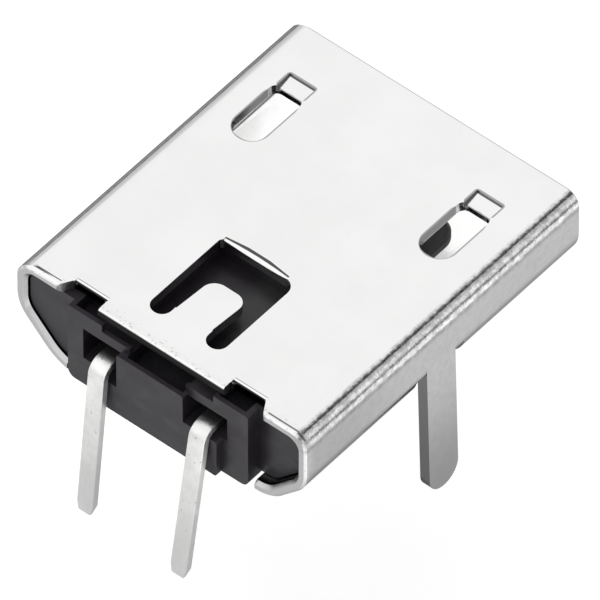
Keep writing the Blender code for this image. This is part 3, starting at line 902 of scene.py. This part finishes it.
@dataclass(frozen=True)
class PhotoCamera:
    """The camera fitted to the photograph. The aim is the middle of the shell's upper rear edge."""

    azimuth_deg: float = 220.03
    elevation_deg: float = 48.38
    distance: float = 486.0 * MM
    pixels_per_metre: float = 50675.0
    aim: Triple = (0.0, 4.25 * MM, 2.42 * MM)
    aim_pixel: Span = (159.95, 349.33)
    nearest: float = 0.01
    furthest: float = 20.0

    def build(self) -> bpy.types.Object:
        """Makes the camera and sets it as the scene's.

        Returns:
            The camera.
        """
        turn, lift = math.radians(self.azimuth_deg), math.radians(self.elevation_deg)
        back = Vector((math.sin(turn) * math.cos(lift), -math.cos(turn) * math.cos(lift), math.sin(lift)))
        right = Vector((math.cos(turn), math.sin(turn), 0.0))
        up = back.cross(right)
        focal = self.pixels_per_metre * self.distance
        middle = PICTURE_SIDE / 2
        beside = (self.aim_pixel[0] - middle) / focal * self.distance
        above = (middle - self.aim_pixel[1]) / focal * self.distance
        place = Vector(self.aim) + back * self.distance - right * beside - up * above
        data = bpy.data.cameras.new("camera")
        data.sensor_width = SENSOR_WIDTH
        data.lens = focal * SENSOR_WIDTH / PICTURE_SIDE
        data.clip_start = self.nearest
        data.clip_end = self.furthest
        made = bpy.data.objects.new("camera", data)
        bpy.context.scene.collection.objects.link(made)
        columns = (right, up, back)
        rows = [[*(column[row] for column in columns), place[row]] for row in range(3)]
        made.matrix_world = Matrix(rows + [[0, 0, 0, 1]])
        bpy.context.scene.camera = made
        return made


@dataclass(frozen=True)
class Softbox:
    """One soft lamp, aimed at the socket."""

    name: str
    place: Triple
    size: float
    watts: float

    def build(self) -> bpy.types.Object:
        """Makes the lamp.

        Returns:
            The lamp.
        """
        data = bpy.data.lights.new(self.name, "AREA")
        data.shape = "SQUARE"
        data.size = self.size
        data.energy = self.watts
        made = bpy.data.objects.new(self.name, data)
        bpy.context.scene.collection.objects.link(made)
        made.visible_glossy = False
        made.location = self.place
        made.rotation_mode = "QUATERNION"
        made.rotation_quaternion = (-Vector(self.place)).to_track_quat("-Z", "Y")
        return made


@dataclass(frozen=True)
class Sky:
    """The surroundings: white to the camera, a panel overhead, a dark gap beside it and greyer walls beyond.

    Each span is a range of one part of the direction looked in: height is its Z, across its X, ahead its Y.
    """

    panel: Colour = grey(1.02)
    panel_height: Span = (0.25, 0.6)
    wall: Colour = grey(0.66)
    gap: Colour = grey(0.06)
    gap_start: Span = (-0.13, -0.06)
    gap_end: Span = (-0.38, -0.32)
    rear: Colour = grey(1.14)
    rear_ahead: Span = (0.02, 0.12)
    spot: Triple = (-0.79, -0.51, 0.34)
    spot_span: Span = (0.955, 0.985)
    low: Colour = grey(0.2)
    low_across: Span = (-0.7, -0.5)
    low_height: Span = (0.08, 0.18)
    seen: Colour = grey(1.0)

    def build(self) -> None:
        """Makes the world."""
        world = bpy.data.worlds.new("sky")
        bpy.context.scene.world = world
        world.use_nodes = True
        graph = Graph(world.node_tree)
        background = world.node_tree.nodes["Background"]
        direction = graph.node("ShaderNodeTexCoord").outputs["Generated"]
        height = graph.along(direction, Axis.Z)
        across = graph.along(direction, Axis.X)
        ahead = graph.along(direction, Axis.Y)
        lit = graph.blend(graph.rise(height, self.panel_height), self.wall, self.panel)
        lit = graph.blend(graph.drop(across, self.gap_start), lit, self.gap)
        lit = graph.blend(graph.drop(across, self.gap_end), lit, self.wall)
        spot = graph.vector("DOT_PRODUCT", direction, self.spot, output=1)
        lit = graph.blend(graph.rise(spot, self.spot_span), lit, self.rear)
        low = graph.product(graph.drop(across, self.low_across), graph.drop(height, self.low_height))
        lit = graph.blend(low, lit, self.low)
        lit = graph.blend(graph.rise(ahead, self.rear_ahead), lit, self.rear)
        camera = graph.node("ShaderNodeLightPath").outputs["Is Camera Ray"]
        graph.link(graph.blend(camera, lit, self.seen), background.inputs["Color"])
        background.inputs["Strength"].default_value = 1.0


@dataclass(frozen=True)
class Floor:
    """White paper that keeps the shadow. Its lifts are light it adds for the camera and for reflections."""

    height: float = -6.0 * MM
    half: float = 0.6
    tone: float = 0.50
    fibre: Pattern = Pattern(2.0 * MM, 3.0)
    fibre_span: Span = (0.3, 0.7)
    fibre_gain: float = 1.02
    far: Span = (45.0 * MM, 80.0 * MM)
    far_shade_tone: float = 0.1
    roughness: float = 0.9
    camera_lift: float = 0.6
    behind_y: Span = (1.0 * MM, 7.0 * MM)
    behind_lifts: Span = (0.20, 0.42)
    beside_x: Span = (-9.0 * MM, -11.0 * MM)
    beside_lift: float = 0.62

    def material(self) -> bpy.types.Material:
        """Builds the paper.

        Returns:
            The material.
        """
        made = bpy.data.materials.new("floor_paper")
        made.use_nodes = True
        graph = Graph(made.node_tree)
        shader = made.node_tree.nodes["Principled BSDF"]
        place = graph.place()
        fibre = graph.rise(graph.noise(place, self.fibre), self.fibre_span)
        paper = graph.blend(fibre, grey(self.tone), grey(self.tone * self.fibre_gain))
        path = graph.node("ShaderNodeLightPath")
        camera, glossy = path.outputs["Is Camera Ray"], path.outputs["Is Glossy Ray"]
        # Painted shade in reflections: to glossy rays the paper grows dark far away.
        distance = graph.vector("LENGTH", place, output=1)
        distant = graph.product(glossy, graph.rise(distance, self.far))
        graph.link(graph.blend(distant, paper, grey(self.far_shade_tone)), shader.inputs["Base Color"])
        shader.inputs["Roughness"].default_value = self.roughness
        shader.inputs["Specular IOR Level"].default_value = 0.0
        shader.inputs["Emission Color"].default_value = (1.0, 1.0, 1.0, 1.0)
        behind = graph.remap(graph.along(place, Axis.Y), self.behind_y, self.behind_lifts)
        beside = graph.rise(graph.along(place, Axis.X), self.beside_x, self.beside_lift)
        near = graph.math("SUBTRACT", 1.0, distant)
        mirrored = graph.product(glossy, graph.math("ADD", behind, beside), near)
        lift = graph.math("ADD", graph.product(camera, self.camera_lift), mirrored)
        graph.link(lift, shader.inputs["Emission Strength"])
        return made

    def build(self) -> bpy.types.Object:
        """Makes the floor.

        Returns:
            The floor.
        """
        bpy.ops.object.select_all(action="DESELECT")
        bpy.ops.mesh.primitive_plane_add(size=2 * self.half, location=(0.0, 0.0, self.height))
        made = bpy.context.active_object
        made.name = "floor"
        bpy.ops.object.transform_apply(location=True, rotation=True, scale=True)
        made.data.materials.append(self.material())
        return made


@dataclass(frozen=True)
class Studio:
    """A plain pale studio: the surroundings, the floor and one soft lamp."""

    sky: Sky = Sky()
    floor: Floor = Floor()
    softbox: Softbox = Softbox("softbox_high", place=(0.10, -0.10, 0.25), size=0.22, watts=0.18)

    def build(self) -> None:
        """Sets the surroundings, the floor, the lamp and the plain view."""
        self.sky.build()
        self.floor.build()
        self.softbox.build()
        bpy.context.scene.view_settings.view_transform = "Standard"


@dataclass
class Socket:
    """The whole socket, one piece after another."""

    shell: Piece = field(default_factory=lambda: Piece(
        "shell", "shell_plated", Slot.NICKEL, NickelPlate("nickel_plate"), edge_break=0.022 * MM))
    housing: Piece = field(default_factory=lambda: Piece(
        "housing", "housing_moulded", Slot.INSULATOR, BlackInsulator("black_insulator"),
        edge_break=0.02 * MM))
    terminals: tuple[Piece, ...] = field(default_factory=lambda: tuple(
        Piece(f"terminal_{side}", f"terminal_{side}_tinned", Slot.TIN, TinPlate(f"tin_plate_{side}"),
              edge_break=0.025 * MM)
        for side in ("left", "right")))

    def build(self) -> list[bpy.types.Object]:
        """Builds every piece.

        Returns:
            The pieces.
        """
        return [piece.build() for piece in (self.shell, self.housing, *self.terminals)]


def main() -> None:
    """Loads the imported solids, dresses them, and sets the light and the camera."""
    logging.basicConfig(level=logging.INFO)
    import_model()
    Socket().build()
    Studio().build()
    PhotoCamera().build()


if __name__ == "__main__":
    main()
